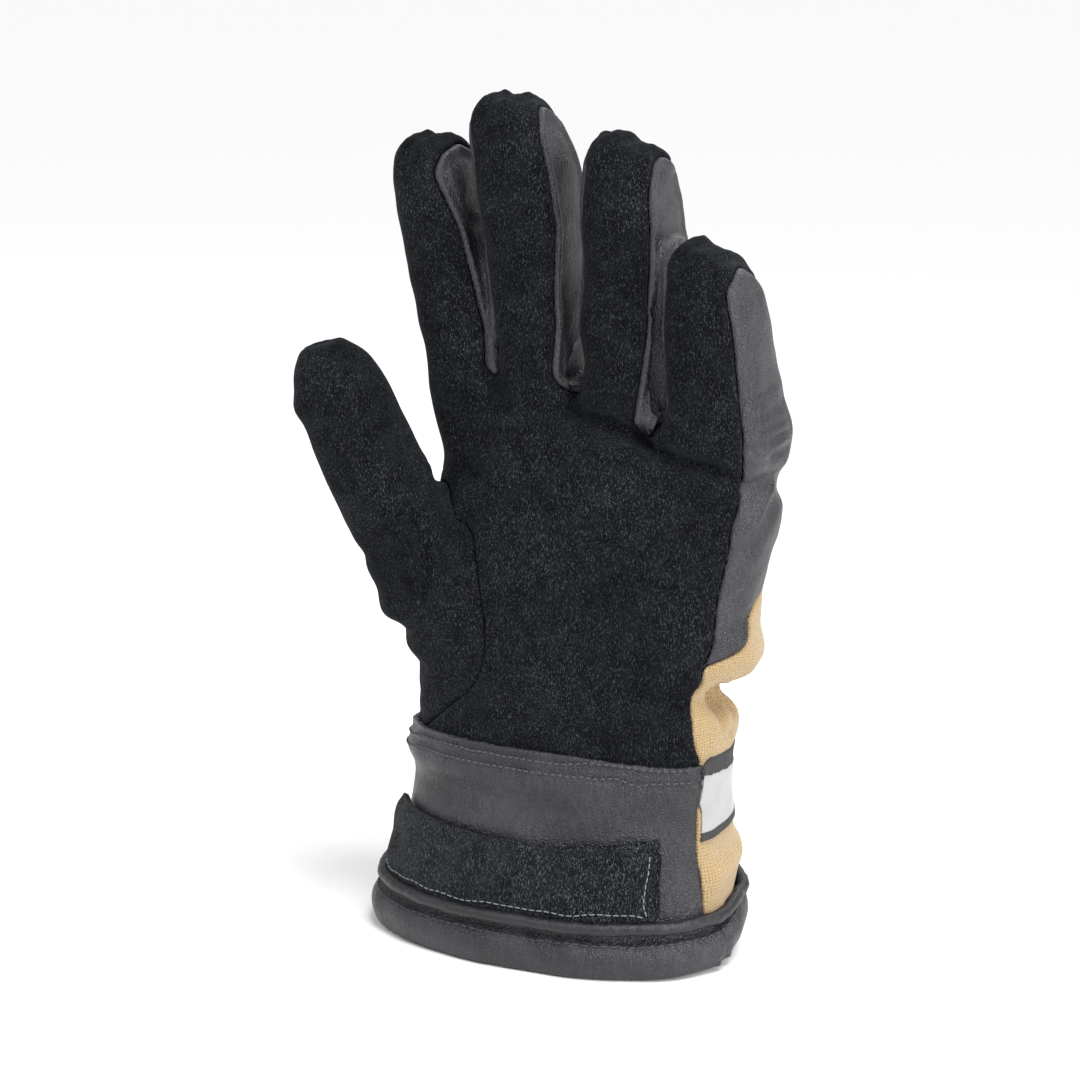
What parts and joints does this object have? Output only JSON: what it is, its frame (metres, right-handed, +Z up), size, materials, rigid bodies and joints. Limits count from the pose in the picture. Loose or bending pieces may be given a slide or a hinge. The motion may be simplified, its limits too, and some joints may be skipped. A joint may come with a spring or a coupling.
{
  "type": "protective work glove",
  "caption": "Left-hand structural firefighting glove with suede palm, knit back, leather finger gussets and flared cuff with a reflective band.",
  "frame": {"origin": "middle of the open mouth of the cuff, where the wrist goes in", "axes": "+Z up the glove towards the fingertips, palm facing -Y, little finger on the +X side and thumb on the -X side"},
  "size_m": [0.155, 0.0887, 0.2837],
  "materials": {
    "palm_suede": "black split leather with a short raised nap",
    "thumb_suede": "black split leather with a short raised nap",
    "strap_suede": "black split leather with a short raised nap and raw edges",
    "gusset_leather": "dark grey grain leather, semi-matt with a soft sheen",
    "cuff_leather": "dark grey grain leather, semi-matt with a soft sheen",
    "hem_leather": "dark grey grain leather, semi-matt with a soft sheen",
    "piping_leather": "dark grey grain leather rolled over a cord",
    "back_knit": "tan knitted cloth with fine ribs",
    "band_silver": "silver retroreflective tape, satin",
    "band_edging": "black woven edging, matt"
  },
  "bodies": {
    "root": {"palm_panel": "palm_suede", "back_panel": "back_knit", "index_middle_fourchette": "gusset_leather", "middle_ring_fourchette": "gusset_leather", "ring_little_fourchette": "gusset_leather", "little_side_gusset": "gusset_leather", "thumb_front": "thumb_suede", "thumb_back": "thumb_suede", "wrist_cuff": "cuff_leather", "strap_patch": "strap_suede", "reflective_band": "band_silver", "band_edge_top": "band_edging", "band_edge_bottom": "band_edging", "cuff_piping": "piping_leather", "cuff_hem": "hem_leather"}
  },
  "joints": []
}
